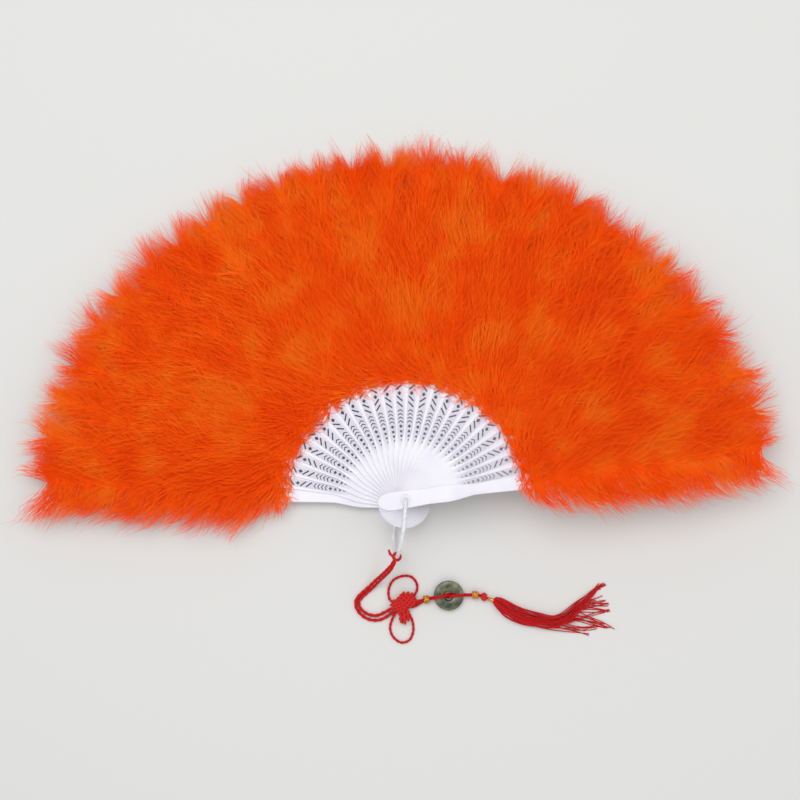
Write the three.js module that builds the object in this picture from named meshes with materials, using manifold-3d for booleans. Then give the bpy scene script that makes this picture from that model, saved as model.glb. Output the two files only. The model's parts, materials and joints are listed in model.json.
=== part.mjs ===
// A folding feather fan, lying open on a table, with its hang loop and tassel.
// Millimetres, +Z up. The table is the plane Z = 0, and the origin is on it, under the middle of the fan.
// Each stick lies in a flat layer of its own, so the fan folds without its pieces meeting.

import * as THREE from "three";
import { mergeVertices } from "three/addons/utils/BufferGeometryUtils.js";
import Module from "manifold-3d";

const wasm = await Module();
wasm.setup();

// The whole fan
const ribCount = 25;
const openAngle = 168;
const backHeading = 176.4;
const leanAngle = 5.97;
const leanHeading = 64.6;

// Sticks: ribs between two guards
const bladeReach = 81;
const buttReach = 18;
const buttHalfWidth = 6;
const ribThickness = 1.1;
const guardThickness = 2.4;
const layerGap = 0.2;
const guardChamfer = 0.4;
const panelRise = 0.4;
const panelInset = 1.4;
const slipReach = 205;
const slipHalfWidth = 1.6;
const slipTipHalfWidth = 0.8;
const ribSlipThickness = 0.45;
const guardSlipThickness = 0.9;
const slipRoot = 1;
const cutOverrun = 1;

// Fretwork of a rib
const squareHalf = 0.75;
const diamondHalf = 1.2;
const chevronCount = 4;
const chevronPitch = 2.4;
const chevronHalfWidth = 1.6;
const chevronRise = 1.2;
const chevronStroke = 0.8;
const slotLength = 4.8;
const slotWidth = 0.95;
const slotSlant = 46;
const lozengeHalfLength = 1.5;
const lozengeHalfWidth = 1.2;

// Pivot and hang loop
const tubeRadius = 1.9;
const tubeBoreRadius = 1.2;
const pivotClearance = 0.25;
const flangeRadius = 3;
const flangeThickness = 0.45;
const flangeSeat = 0.1;
const loopRadius = 1.35;
const loopClearance = 0.3;
const loopHeading = -97.4;
const loopLeg = 19.5;
const loopArch = 17;
const pegRadius = 0.9;
const pegDepth = 3;
const hitchAngle = 7;

// Plumes
const plumeGap = 0.4;
const plumeReach = 234;
const plumeSideGain = 15;
const sideGainPower = 3;
const plumeHalfWidth = 28;
const plumeSlipGap = 0.15;
const frontCrown = 6.5;
const backCrown = 4;
const slipGrooveGap = 0.3;

// Tassel
const strandRadius = 0.85;
const strandSpacing = 1.6;
const earRadius = 0.65;
const fineStrandRadius = 0.6;
const hitchClearance = 0.3;
const knotHalfLength = 7.2;
const knotHalfWidth = 6.6;
const knotHalfHeight = 3.4;
const beadRadius = 2.8;
const beadLength = 4.2;
const beadBoreRadius = 1.55;
const beadEdgeShare = 0.7;
const discRadius = 9.85;
const discHoleRadius = 2.9;
const discThickness = 3;
const discRounding = 0.8;
const stopperHalfLength = 2;
const stopperRadius = 2.4;
const ferruleRadius = 1.3;
const ferruleBoreRadius = 0.8;
const ferruleLength = 3.4;
const neckRadius = 0.45;
const skirtHalfHeight = 2.2;
const tableGap = 0.05;

// Facets
const buttSides = 4;
const holeSides = 8;
const tubeSides = 12;
const cordSides = 8;
const cordStep = 4.4;
const discSides = 20;
const beadSides = 10;
const knotSides = 12;
const archStep = 15;
const fineStep = 3;
const skirtSides = 8;

// The share of its quarter round that one side of a butt takes, short of the middle line
const buttRoundShare = 0.98;
// Shares of the blade's reach and of the butt's half width, along one edge of a stick
const stickEdgeShares = [
  [1, 0.74], [0.95, 0.77], [0.75, 0.64], [0.55, 0.53], [0.45, 0.74], [0.385, 0.89], [0.32, 0.93],
  [0.185, 0.84],
];
const guardEdgeShares = [
  [1, 0.86], [0.765, 0.72], [0.62, 0.62], [0.54, 0.6],
  [0.45, 0.76], [0.39, 0.88], [0.33, 0.93], [0.26, 0.89], [0.185, 0.85], [0.09, 0.92],
];
const panelShares = [
  [0.66, 0.66], [0.54, 0.6], [0.45, 0.76], [0.39, 0.88], [0.33, 0.93], [0.26, 0.89], [0.185, 0.85],
];
// Shares of the blade's reach at which the fretwork stands, and the squares' sizes as shares of the largest
const squareShares = [[0.483, 0.6], [0.517, 0.83], [0.554, 1]];
const diamondShare = 0.594;
const chevronShare = 0.636;
const innerSlotShares = [0.77, 0.817];
const lozengeShare = 0.86;
const outerSlotShares = [0.909, 0.957];
// The ribs are threaded on either way up, so the inner slots lean to one side or the other
const slotLeans = [1, 1, -1, 1, -1, -1, 1, -1, 1, 1, -1, 1, 1, 1, -1, 1, 1, -1, -1, 1, 1, -1, -1, 1, -1];
// Shares of a plume's length and half width, along one edge, where its tufts stand out and fall back
const plumeEdgeShares = [
  [0, 0.7], [0.2, 0.93], [0.165, 0.73], [0.42, 0.99], [0.37, 0.77], [0.63, 1], [0.57, 0.77],
  [0.8, 0.93], [0.75, 0.66], [0.94, 0.66], [0.905, 0.42], [0.985, 0.36], [0.955, 0.16], [0.985, 0.05],
];
// Shares of a plume's length and half width, and of its crown's height, from the root to the tip
const crownShares = [
  [0.02, 0.5, 0.35], [0.12, 0.6, 0.8], [0.2, 0.58, 0.62], [0.33, 0.66, 0.97], [0.42, 0.64, 0.78],
  [0.55, 0.7, 1], [0.64, 0.66, 0.8], [0.76, 0.64, 0.93], [0.83, 0.5, 0.68], [0.92, 0.34, 0.5],
  [0.96, 0.12, 0.15],
];
// Shares of the crown's half width and height, across it
const crownSectionShares = [[-1, 0], [-0.6, 0.78], [0, 1], [0.6, 0.78], [1, 0]];

// Routes of the tassel, from the pivot, chosen by hand
const strandRoute = [
  [-4.9, -36.1, 22.8], [-6.7, -39.9, 21.4], [-9.3, -43.6, 17.4], [-12.6, -47.3, 11.8], [-16.2, -51, 6.6],
  [-20.4, -55.5, 2.6], [-24.3, -59.1, 1.15], [-27.6, -62.2, 0.95], [-29.7, -65.3, 0.95],
  [-29.4, -69.2, 0.95], [-26.8, -72.8, 0.95], [-21.9, -75.7, 0.95], [-16.1, -76.1, 0.95],
  [-10.9, -73.8, 1.2], [-7, -71.2, 2.2], [-3.5, -69.6, 2.9],
];
const stubRoute = [[-6.3, -34.4, 22.9], [-8, -32.8, 22.5], [-8.9, -30.6, 21.6]];
const knotPlace = [0.2, -67.3, 3.5];
const upperEarRoute = [
  [-4.4, -66.4, 3], [-8.5, -64.2, 1.6], [-9.2, -57.6, 0.9], [-6.2, -51.6, 0.8], [0.2, -48.8, 0.8],
  [5.6, -49.4, 0.8], [9, -53.4, 0.8], [9.3, -58, 1.1], [6.4, -62.6, 2.4], [3, -65.4, 3],
];
const lowerEarRoute = [
  [-3, -69.8, 3], [-6.6, -76.4, 1.4], [-8.3, -82.9, 0.8], [-6.3, -88.7, 0.8], [-1.1, -92.4, 0.8],
  [4.1, -91, 0.8], [6.8, -85.4, 0.8], [6.2, -78, 1.2], [2.6, -71, 3],
];
const overRoute = [
  [3.6, -66.4, 3.6], [8.4, -65.6, 3.7], [12.4, -64.5, 3.55], [15.5, -63.9, 3.45], [18.3, -63.3, 3.7],
  [19.6, -63, 4.6], [21.4, -62.7, 5.3], [24, -62.2, 5.4], [26.9, -61.8, 5.25], [28.6, -61.6, 4.4],
  [30.1, -61.4, 3], [31.6, -61.3, 1.6], [33.3, -61.2, 0.8], [36, -61.1, 0.66], [38.8, -61.1, 0.7],
  [41.6, -61.1, 1.3], [44, -61, 2.1], [47.3, -61, 2.25], [50.4, -61.4, 2.3], [53.2, -62.3, 2.5],
];
const underRoute = [
  [3.4, -69, 2.7], [8, -68.3, 2.2], [12, -65.9, 2.2], [15.5, -64, 2.25], [18.6, -63.2, 1.9],
  [20.4, -62.9, 1], [22.2, -62.6, 0.7], [24.4, -62.1, 0.66], [26.9, -61.8, 0.8], [28.6, -61.6, 1.6],
  [30.1, -61.4, 3], [31.6, -61.3, 4.4], [33.3, -61.2, 5.25], [36, -61.1, 5.4], [38.6, -61.1, 5.3],
  [40.4, -61.1, 4.7], [41.9, -61.1, 3.9], [44, -61, 3.5], [47.3, -61, 3.45], [50.4, -61.4, 3.3],
  [53.2, -62.3, 2.9],
];
const neckRoute = [[53.2, -62.3, 2.6], [56, -63.3, 2.4], [57.3, -63.9, 2.3]];
const discPlace = [30.1, -61.4];
const upperBeadPlace = [15.5, -63.95, 2.85];
const upperBeadHeading = 10;
const lowerBeadPlace = [47.3, -61, 2.85];
const lowerBeadHeading = -3;
const ferruleHeading = -20;
const stopperPlace = [53.2, -62.3, 2.6];
const ferrulePlace = [57.6, -64, 2.3];
const skirtRoute = [
  [58.2, -64.2, 2.3], [59.6, -64.7, 2.3], [60.5, -65.1, 2.3], [63, -66.4, 2.3], [70.6, -71.5, 2.3],
  [79.2, -75.6, 2.3],
  [87.9, -77.9, 2.3], [97.8, -79, 2.3], [106, -76.6, 2.2], [114, -70, 1.8], [122.8, -62.2, 1.5],
  [129.6, -56, 1.2],
];
const skirtTongueRoutes = [
  [[95, -78.6, 2.2], [104, -78.6, 2.1], [114, -76.6, 1.7], [124, -73.4, 1.4], [133, -70, 1.1]],
  [[94, -78.4, 2.2], [103, -80.6, 2], [113, -82, 1.6], [123, -82.4, 1.4], [132, -81.6, 1.1]],
];
// The skirt's half width and half height at its route's points, as shares of the largest
const skirtWidestHalf = 5;
const skirtShares = [
  [0.09, 0.2], [0.09, 0.2], [0.32, 0.6], [0.48, 0.85], [0.7, 1], [0.88, 1], [0.95, 1], [1, 1], [0.8, 0.9],
  [0.62, 0.7], [0.44, 0.55], [0.2, 0.4],
];
const tongueWidestHalf = 3.4;
const tongueShares = [[0.9, 0.8], [1, 0.85], [0.85, 0.7], [0.65, 0.55], [0.3, 0.4]];

// What follows from the sizes
const stickCount = ribCount + 2;
const pitchAngle = openAngle / (stickCount - 1);
const layerPitch = ribThickness + layerGap;
const stackHeight = 2 * guardThickness + ribCount * layerPitch + layerGap;
const loopOffset = loopClearance + loopRadius;
const plumeStart = bladeReach + plumeGap;
const counterboreDepth = flangeThickness + flangeSeat + tableGap;
const discLevel = 2 * fineStrandRadius + hitchClearance;

const whitePlastic = new THREE.MeshStandardMaterial({ color: 0xeeecf2, roughness: 0.35, metalness: 0 });
const orangePlume = new THREE.MeshStandardMaterial({ color: 0xff5a08, roughness: 0.9, metalness: 0 });
const clearPlastic = new THREE.MeshStandardMaterial({ color: 0xe6e8ee, roughness: 0.2, metalness: 0 });
const redCord = new THREE.MeshStandardMaterial({ color: 0xc80f14, roughness: 0.6, metalness: 0 });
const goldMetal = new THREE.MeshStandardMaterial({ color: 0xd9a648, roughness: 0.3, metalness: 1 });
const greenStone = new THREE.MeshStandardMaterial({ color: 0x6e7d5f, roughness: 0.25, metalness: 0 });

// Solids
const radians = THREE.MathUtils.degToRad;

function solid(geometry) {
  const bare = geometry.clone();
  bare.deleteAttribute("normal");
  bare.deleteAttribute("uv");
  const merged = mergeVertices(bare);
  return new wasm.Manifold(new wasm.Mesh({
    numProp: 3,
    vertProperties: new Float32Array(merged.attributes.position.array),
    triVerts: new Uint32Array(merged.index.array),
  }));
}

function geometryOf(body) {
  const mesh = body.getMesh();
  const geometry = new THREE.BufferGeometry();
  geometry.setAttribute("position", new THREE.BufferAttribute(mesh.vertProperties, 3));
  geometry.setIndex(new THREE.BufferAttribute(mesh.triVerts, 1));
  geometry.computeVertexNormals();
  return geometry;
}

function named(name, geometry, material) {
  const mesh = new THREE.Mesh(geometry, material);
  mesh.name = name;
  return mesh;
}

function plate(outline, thickness, chamfer = 0) {
  const shape = new THREE.Shape(outline);
  return new THREE.ExtrudeGeometry(shape, {
    depth: thickness - 2 * chamfer,
    bevelEnabled: chamfer > 0,
    bevelThickness: chamfer,
    bevelSize: chamfer,
    bevelOffset: -chamfer,
    bevelSegments: 1,
  }).translate(0, 0, chamfer);
}

function ring(radius, sides, atX = 0) {
  const points = [];
  for (let i = 0; i < sides; i++) {
    const turn = (2 * Math.PI * i) / sides;
    points.push(new THREE.Vector2(atX + radius * Math.cos(turn), radius * Math.sin(turn)));
  }
  return points;
}

function mirroredOutline(edge) {
  const upper = edge.map(([x, y]) => new THREE.Vector2(x, y));
  const lower = edge.map(([x, y]) => new THREE.Vector2(x, -y)).reverse();
  return [...upper, ...lower];
}

function tube(route, radius, sides = cordSides, step = cordStep) {
  const path = new THREE.CatmullRomCurve3(route, false, "centripetal");
  const steps = Math.max(2, Math.round(path.getLength() / step));
  const section = new THREE.Shape(ring(radius, sides));
  return new THREE.ExtrudeGeometry(section, { steps, extrudePath: path, bevelEnabled: false });
}

// A closed body through rings of points, all with the same number of points
function loft(rings) {
  const sides = rings[0].length;
  const positions = rings.flat().flatMap((point) => point.toArray());
  const faces = [];
  for (let i = 0; i + 1 < rings.length; i++) {
    for (let k = 0; k < sides; k++) {
      const a = i * sides + k;
      const b = i * sides + ((k + 1) % sides);
      faces.push(a, b + sides, b, a, a + sides, b + sides);
    }
  }
  const last = (rings.length - 1) * sides;
  for (let k = 1; k + 1 < sides; k++) {
    faces.push(0, k, k + 1, last, last + k + 1, last + k);
  }
  const geometry = new THREE.BufferGeometry();
  geometry.setAttribute("position", new THREE.Float32BufferAttribute(positions, 3));
  geometry.setIndex(faces);
  return geometry;
}

// Sticks
function stickEdge(shares) {
  const edge = shares.map(([along, across]) => [along * bladeReach, across * buttHalfWidth]);
  const buttCentre = -buttReach / 2;
  for (let i = 0; i <= buttSides; i++) {
    const turn = (Math.PI / 2) * (1 + (buttRoundShare * i) / buttSides);
    edge.push([buttCentre + (buttReach / 2) * Math.cos(turn), buttHalfWidth * Math.sin(turn)]);
  }
  return edge;
}

function squareHole(reach, half) {
  return [[reach - half, -half], [reach + half, -half], [reach + half, half], [reach - half, half]];
}

function diamondHole(reach, halfLength, halfWidth) {
  return [[reach - halfLength, 0], [reach, -halfWidth], [reach + halfLength, 0], [reach, halfWidth]];
}

function chevronHole(reach) {
  const tip = reach + chevronRise / 2;
  const heel = reach - chevronRise / 2;
  return [
    [tip, 0], [heel, chevronHalfWidth], [heel - chevronStroke, chevronHalfWidth],
    [tip - chevronStroke, 0], [heel - chevronStroke, -chevronHalfWidth], [heel, -chevronHalfWidth],
  ];
}

function slotHole(reach, lean) {
  const slant = radians(slotSlant) * lean;
  const [alongX, alongY] = [Math.cos(slant) * slotLength / 2, Math.sin(slant) * slotLength / 2];
  const [acrossX, acrossY] = [-Math.sin(slant) * slotWidth / 2, Math.cos(slant) * slotWidth / 2];
  return [[-1, -1], [1, -1], [1, 1], [-1, 1]].map(([a, b]) => [
    reach + a * alongX + b * acrossX,
    a * alongY + b * acrossY,
  ]);
}

function fretwork(lean) {
  const holes = squareShares.map(([share, size]) => squareHole(share * bladeReach, size * squareHalf));
  holes.push(diamondHole(diamondShare * bladeReach, diamondHalf, diamondHalf));
  for (let i = 0; i < chevronCount; i++) {
    holes.push(chevronHole(chevronShare * bladeReach + i * chevronPitch));
  }
  holes.push(...innerSlotShares.map((share) => slotHole(share * bladeReach, lean)));
  holes.push(diamondHole(lozengeShare * bladeReach, lozengeHalfLength, lozengeHalfWidth));
  holes.push(...outerSlotShares.map((share) => slotHole(share * bladeReach, -lean)));
  return holes.map((hole) => hole.map(([x, y]) => new THREE.Vector2(x, y)));
}

function slip(thickness) {
  const edge = [[slipReach, slipTipHalfWidth], [bladeReach - slipRoot, slipHalfWidth]];
  return solid(plate(mirroredOutline(edge), thickness));
}

function ribGeometry(lean) {
  const blade = plate(mirroredOutline(stickEdge(stickEdgeShares)), ribThickness);
  const holes = [ring(tubeRadius + pivotClearance, holeSides), ...fretwork(lean)].map((hole) =>
    solid(plate(hole, ribThickness + 2 * cutOverrun).translate(0, 0, -cutOverrun)),
  );
  const pierced = solid(blade).subtract(wasm.Manifold.union(holes));
  return geometryOf(pierced.add(slip(ribSlipThickness)));
}

// A chamfered guard with a raised panel on the handle and a countersunk pivot hole in its outer face
function guardGeometry(outerFaceUp) {
  const blank = plate(mirroredOutline(stickEdge(guardEdgeShares)), guardThickness, guardChamfer);
  const panelEdge = panelShares.map(([along, across]) => [
    along * bladeReach,
    across * buttHalfWidth - panelInset,
  ]);
  const panel = plate(mirroredOutline(panelEdge), 2 * panelRise);
  panel.translate(0, 0, guardThickness - panelRise);
  const hole = bore(tubeRadius + pivotClearance, 2 * (guardThickness + panelRise + cutOverrun));
  const seat = bore(flangeRadius + pivotClearance, 2 * counterboreDepth).translate(0, 0, guardThickness);
  let guard = solid(blank).add(solid(panel)).subtract(solid(hole)).subtract(solid(seat));
  if (!outerFaceUp) {
    guard = guard.rotate([180, 0, 0]).translate([0, 0, guardThickness]);
  }
  return geometryOf(guard.add(slip(guardSlipThickness)));
}

// Plumes
function plumeGeometry(reach, thickness) {
  const length = reach - plumeStart;
  const edge = plumeEdgeShares.map(([along, across]) => [
    plumeStart + along * length,
    across * plumeHalfWidth,
  ]);
  return plate(mirroredOutline(edge), thickness);
}

// The tufted hump of an outer plume, from the middle of its leaf up
function crown(reach, thickness, height) {
  const length = reach - plumeStart;
  return loft(crownShares.map(([along, wide, high]) =>
    crownSectionShares.map(([across, up]) => new THREE.Vector3(
      plumeStart + along * length,
      across * wide * plumeHalfWidth,
      thickness / 2 + up * high * height,
    )),
  ));
}

// Nothing lies over the plume of the front guard or under that of the back guard, so these two are full
function frontPlume(reach, thickness) {
  const leaf = solid(plumeGeometry(reach, thickness));
  return geometryOf(leaf.add(solid(crown(reach, thickness, frontCrown))));
}

function backPlume(reach, thickness) {
  const leaf = solid(plumeGeometry(reach, thickness));
  const hump = solid(crown(reach, thickness, backCrown)).rotate([180, 0, 0]).translate([0, 0, thickness]);
  const grooveLength = slipReach + slipGrooveGap;
  const groove = new THREE.BoxGeometry(grooveLength, 2 * (slipHalfWidth + slipGrooveGap), 2 * backCrown);
  groove.translate(grooveLength / 2, 0, -backCrown);
  return geometryOf(hump.subtract(solid(groove)).add(leaf));
}

// Pivot and hang loop
function bore(radius, length) {
  return new THREE.CylinderGeometry(radius, radius, length, tubeSides).rotateX(Math.PI / 2);
}

function pivotTube() {
  const low = tableGap;
  const high = stackHeight - tableGap;
  const profile = [
    [tubeBoreRadius, low], [flangeRadius, low], [flangeRadius, low + flangeThickness],
    [tubeRadius, low + flangeThickness], [tubeRadius, high - flangeThickness],
    [flangeRadius, high - flangeThickness], [flangeRadius, high], [tubeBoreRadius, high],
    [tubeBoreRadius, low],
  ];
  return revolved(profile, tubeSides).rotateX(Math.PI / 2);
}

function revolved(profile, sides) {
  return new THREE.LatheGeometry(profile.map(([x, y]) => new THREE.Vector2(x, y)), sides);
}

// A point of the loop's middle line, along its heading and up the pivot, at an angle of its arch
function archPoint(angle) {
  return new THREE.Vector3(
    loopLeg + loopArch * Math.cos(radians(angle)),
    0,
    stackHeight / 2 + (stackHeight / 2 + loopOffset) * Math.sin(radians(angle)),
  );
}

function hangLoop() {
  const front = stackHeight + loopOffset;
  const back = -loopOffset;
  const arch = [];
  for (let angle = 90; angle >= -90; angle -= archStep) {
    arch.push(archPoint(angle));
  }
  const route = [
    new THREE.Vector3(-loopRadius, 0, front), new THREE.Vector3(loopLeg / 2, 0, front),
    ...arch,
    new THREE.Vector3(loopLeg / 2, 0, back), new THREE.Vector3(-loopRadius, 0, back),
  ];
  const length = loopOffset + pegDepth;
  const peg = bore(pegRadius, length);
  const frontPeg = peg.clone().translate(0, 0, front - length / 2);
  const backPeg = peg.clone().translate(0, 0, back + length / 2);
  return geometryOf(solid(tube(route, loopRadius)).add(solid(frontPeg)).add(solid(backPeg)));
}

// Tassel
function routeOf(points) {
  return points.map(([x, y, z]) => new THREE.Vector3(x, y, z));
}

// One of two strands side by side along a route, both level with it
function besideRoute(points, side) {
  const path = new THREE.CatmullRomCurve3(routeOf(points), false, "centripetal");
  const up = new THREE.Vector3(0, 0, 1);
  return points.map((point, i) => {
    const across = path.getTangent(i / (points.length - 1)).cross(up).normalize();
    return new THREE.Vector3(...point).addScaledVector(across, (side * strandSpacing) / 2);
  });
}

function tasselCord(hitch) {
  const knot = new THREE.SphereGeometry(1, knotSides, knotSides / 2);
  knot.rotateX(Math.PI / 2).scale(knotHalfLength, knotHalfWidth, knotHalfHeight).translate(...knotPlace);
  const stopper = new THREE.SphereGeometry(1, cordSides, cordSides / 2);
  stopper.scale(stopperHalfLength, stopperRadius, stopperRadius).translate(...stopperPlace);
  const wrapRadius = loopRadius + hitchClearance + strandRadius;
  const wrap = new THREE.TorusGeometry(wrapRadius, strandRadius, cordSides, tubeSides);
  wrap.translate(hitch.x, hitch.y, hitch.z);
  const pieces = [
    wrap, knot, stopper,
    tube(besideRoute(strandRoute, 1), strandRadius),
    tube(besideRoute(strandRoute, -1), strandRadius),
    tube(routeOf(stubRoute), strandRadius),
    tube(routeOf(upperEarRoute), earRadius),
    tube(routeOf(lowerEarRoute), earRadius),
    tube(routeOf(overRoute), fineStrandRadius, cordSides, fineStep),
    tube(routeOf(underRoute), fineStrandRadius, cordSides, fineStep),
    tube(routeOf(neckRoute), neckRadius, cordSides, fineStep),
  ];
  return geometryOf(wasm.Manifold.union(pieces.map(solid)));
}

// A ring-shaped piece round the cord, its axis level and turned to a heading
function bead(radius, boreRadius, length, place, heading) {
  const edge = radius * beadEdgeShare;
  const half = length / 2;
  const profile = [
    [boreRadius, -half], [edge, -half], [radius, -half * beadEdgeShare], [radius, half * beadEdgeShare],
    [edge, half], [boreRadius, half], [boreRadius, -half],
  ];
  const [x, y, z] = place;
  return revolved(profile, beadSides).rotateZ(-Math.PI / 2).rotateZ(radians(heading)).translate(x, y, z);
}

function jadeDisc() {
  const [x, y] = discPlace;
  const low = discLevel;
  const high = discLevel + discThickness;
  const profile = [
    [discHoleRadius, low + discRounding], [discHoleRadius + discRounding, low],
    [discRadius - discRounding, low], [discRadius, low + discRounding],
    [discRadius, high - discRounding], [discRadius - discRounding, high],
    [discHoleRadius + discRounding, high], [discHoleRadius, high - discRounding],
    [discHoleRadius, low + discRounding],
  ];
  return revolved(profile, discSides).rotateX(Math.PI / 2).translate(x, y, 0);
}

// A bundle of threads, flattened where it lies
function bundle(points, shares, widestHalf) {
  const path = new THREE.CatmullRomCurve3(routeOf(points), false, "centripetal");
  const up = new THREE.Vector3(0, 0, 1);
  return loft(points.map((point, i) => {
    const across = path.getTangent(i / (points.length - 1)).cross(up).normalize();
    const [width, height] = [shares[i][0] * widestHalf, shares[i][1] * skirtHalfHeight];
    return ring(1, skirtSides).map(({ x, y }) =>
      new THREE.Vector3(...point).addScaledVector(across, x * width).addScaledVector(up, y * height),
    );
  }));
}

function tasselSkirt() {
  const pieces = [
    bundle(skirtRoute, skirtShares, skirtWidestHalf),
    ...skirtTongueRoutes.map((route) => bundle(route, tongueShares, tongueWidestHalf)),
  ];
  return geometryOf(wasm.Manifold.union(pieces.map(solid)));
}

// The fan: every stick turned about the pivot in its own layer, then laid on the table
function stickLayer(index) {
  const isBack = index === 0;
  const isFront = index === stickCount - 1;
  const isGuard = isBack || isFront;
  const level = isBack ? 0 : guardThickness + layerGap + (index - 1) * layerPitch;
  return { isGuard, isBack, isFront, level, heading: backHeading - index * pitchAngle };
}

function stickName(index) {
  if (index === 0) return "back_guard";
  if (index === stickCount - 1) return "front_guard";
  return `rib_${String(index).padStart(2, "0")}`;
}

function stickPlume(index) {
  const { isGuard, isBack, isFront, heading } = stickLayer(index);
  const under = (isGuard ? guardSlipThickness : ribSlipThickness) + plumeSlipGap;
  const thickness = (isGuard ? guardThickness : ribThickness) - under;
  const reach = plumeReach + plumeSideGain * Math.abs(Math.cos(radians(heading))) ** sideGainPower;
  let shape = plumeGeometry;
  if (isBack) shape = backPlume;
  if (isFront) shape = frontPlume;
  const plume = named(`plume_${String(index).padStart(2, "0")}`, shape(reach, thickness), orangePlume);
  plume.position.z = under;
  return plume;
}

function buildFan() {
  const fan = new THREE.Group();
  for (let index = 0; index < stickCount; index++) {
    const { isGuard, isFront, level, heading } = stickLayer(index);
    const turned = new THREE.Group();
    turned.rotation.z = radians(heading);
    turned.position.z = level;
    const lean = slotLeans[(index - 1) % slotLeans.length];
    const stick = isGuard ? guardGeometry(isFront) : ribGeometry(lean);
    turned.add(named(stickName(index), stick, whitePlastic));
    // The sticks next to the guards lie between full plumes and carry none of their own
    const nextToGuard = index === 1 || index === stickCount - 2;
    if (!nextToGuard) turned.add(stickPlume(index));
    fan.add(turned);
  }
  fan.add(named("pivot_tube", pivotTube(), whitePlastic));
  const loop = named("hang_loop", hangLoop(), clearPlastic);
  loop.rotation.z = radians(loopHeading);
  fan.add(loop);
  return fan;
}

function buildTassel(fan) {
  const loop = fan.getObjectByName("hang_loop");
  const hitch = loop.localToWorld(archPoint(-hitchAngle));
  const upperBead = bead(beadRadius, beadBoreRadius, beadLength, upperBeadPlace, upperBeadHeading);
  const lowerBead = bead(beadRadius, beadBoreRadius, beadLength, lowerBeadPlace, lowerBeadHeading);
  const ferrule = bead(ferruleRadius, ferruleBoreRadius, ferruleLength, ferrulePlace, ferruleHeading);
  const tassel = new THREE.Group();
  tassel.add(
    named("tassel_cord", tasselCord(hitch), redCord),
    named("bead_upper", upperBead, goldMetal),
    named("jade_disc", jadeDisc(), greenStone),
    named("bead_lower", lowerBead, goldMetal),
    named("ferrule", ferrule, goldMetal),
    named("tassel_skirt", tasselSkirt(), redCord),
  );
  return tassel;
}

const fan = buildFan();
const leanAxis = new THREE.Vector3(-Math.sin(radians(leanHeading)), Math.cos(radians(leanHeading)), 0);
fan.quaternion.setFromAxisAngle(leanAxis, radians(leanAngle));
fan.updateMatrixWorld(true);
fan.position.z = -new THREE.Box3().setFromObject(fan, true).min.z;
fan.updateMatrixWorld(true);
const tassel = buildTassel(fan);
const footprint = new THREE.Box3().setFromObject(fan, true);
const assembly = new THREE.Group();
assembly.add(fan, tassel);
assembly.position.set(-(footprint.min.x + footprint.max.x) / 2, -(footprint.min.y + footprint.max.y) / 2, 0);

export default assembly;
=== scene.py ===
"""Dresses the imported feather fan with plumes, a twisted hang loop and a knotted tassel.

Metres, +Z up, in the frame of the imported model. Routes and sizes that are given in millimetres are turned
to metres where they are used.
"""

import json
import math

import bpy
import numpy as np
from mathutils import Matrix, Vector

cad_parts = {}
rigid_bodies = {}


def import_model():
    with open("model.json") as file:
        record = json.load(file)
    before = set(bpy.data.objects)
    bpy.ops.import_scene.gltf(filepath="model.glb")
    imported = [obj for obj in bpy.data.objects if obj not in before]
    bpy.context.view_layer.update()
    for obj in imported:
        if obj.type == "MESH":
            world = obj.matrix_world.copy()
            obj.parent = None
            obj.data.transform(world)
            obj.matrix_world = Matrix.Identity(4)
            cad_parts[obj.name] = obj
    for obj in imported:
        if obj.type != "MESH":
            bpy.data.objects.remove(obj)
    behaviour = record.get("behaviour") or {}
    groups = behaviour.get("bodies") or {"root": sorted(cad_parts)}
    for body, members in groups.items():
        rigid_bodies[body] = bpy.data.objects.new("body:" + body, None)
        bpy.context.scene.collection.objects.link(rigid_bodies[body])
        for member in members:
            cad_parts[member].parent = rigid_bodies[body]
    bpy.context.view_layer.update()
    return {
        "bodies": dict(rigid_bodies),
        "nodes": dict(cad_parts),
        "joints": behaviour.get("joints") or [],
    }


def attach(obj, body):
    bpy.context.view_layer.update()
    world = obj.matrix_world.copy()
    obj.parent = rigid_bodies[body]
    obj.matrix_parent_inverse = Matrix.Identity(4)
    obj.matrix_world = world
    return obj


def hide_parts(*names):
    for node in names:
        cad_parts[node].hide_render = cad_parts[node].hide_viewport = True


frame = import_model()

bl_info = {
    "name": "Feather fan",
    "version": (1, 0, 0),
    "blender": (4, 5, 0),
    "location": "3D View > Sidebar > Feather fan",
    "description": "Dresses a folding feather fan with plumes, a hang loop and a tassel",
    "category": "Object",
}

MM = 0.001

# The fan's own frame: its origin on the pivot under the stack of sticks, its Z along the pivot
FOLD = next(joint for joint in frame["joints"] if joint["name"] == "fold")
PIVOT = Vector(FOLD["pos_m"])
LEAN = Vector((0, 0, 1)).rotation_difference(Vector(FOLD["axis"]))
FAN = Matrix.Translation(PIVOT) @ LEAN.to_matrix().to_4x4()
STICK_COUNT = sum(body.startswith("rib_") for body in frame["bodies"]) + 2
OPEN_ANGLE = 168
BACK_HEADING = 176.4
RIB_THICKNESS = 1.1
GUARD_THICKNESS = 2.4
LAYER_GAP = 0.2
STACK_HEIGHT = 37.5

# Where a rib's pierced panel starts and its half width, over which lengths its painted shade fades in, both
# along and across, and the attribute that holds a point's place on its stick, in millimetres
PANEL_START = 34
PANEL_HALF_WIDTH = 2.7
PANEL_FADES = (8, 0.6)
RIB_PLACE = "rib_place"

# The map of the down, which holds each barb's own shade across, and the way from root to tip up
DOWN_MAP = "OFBake"

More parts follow.
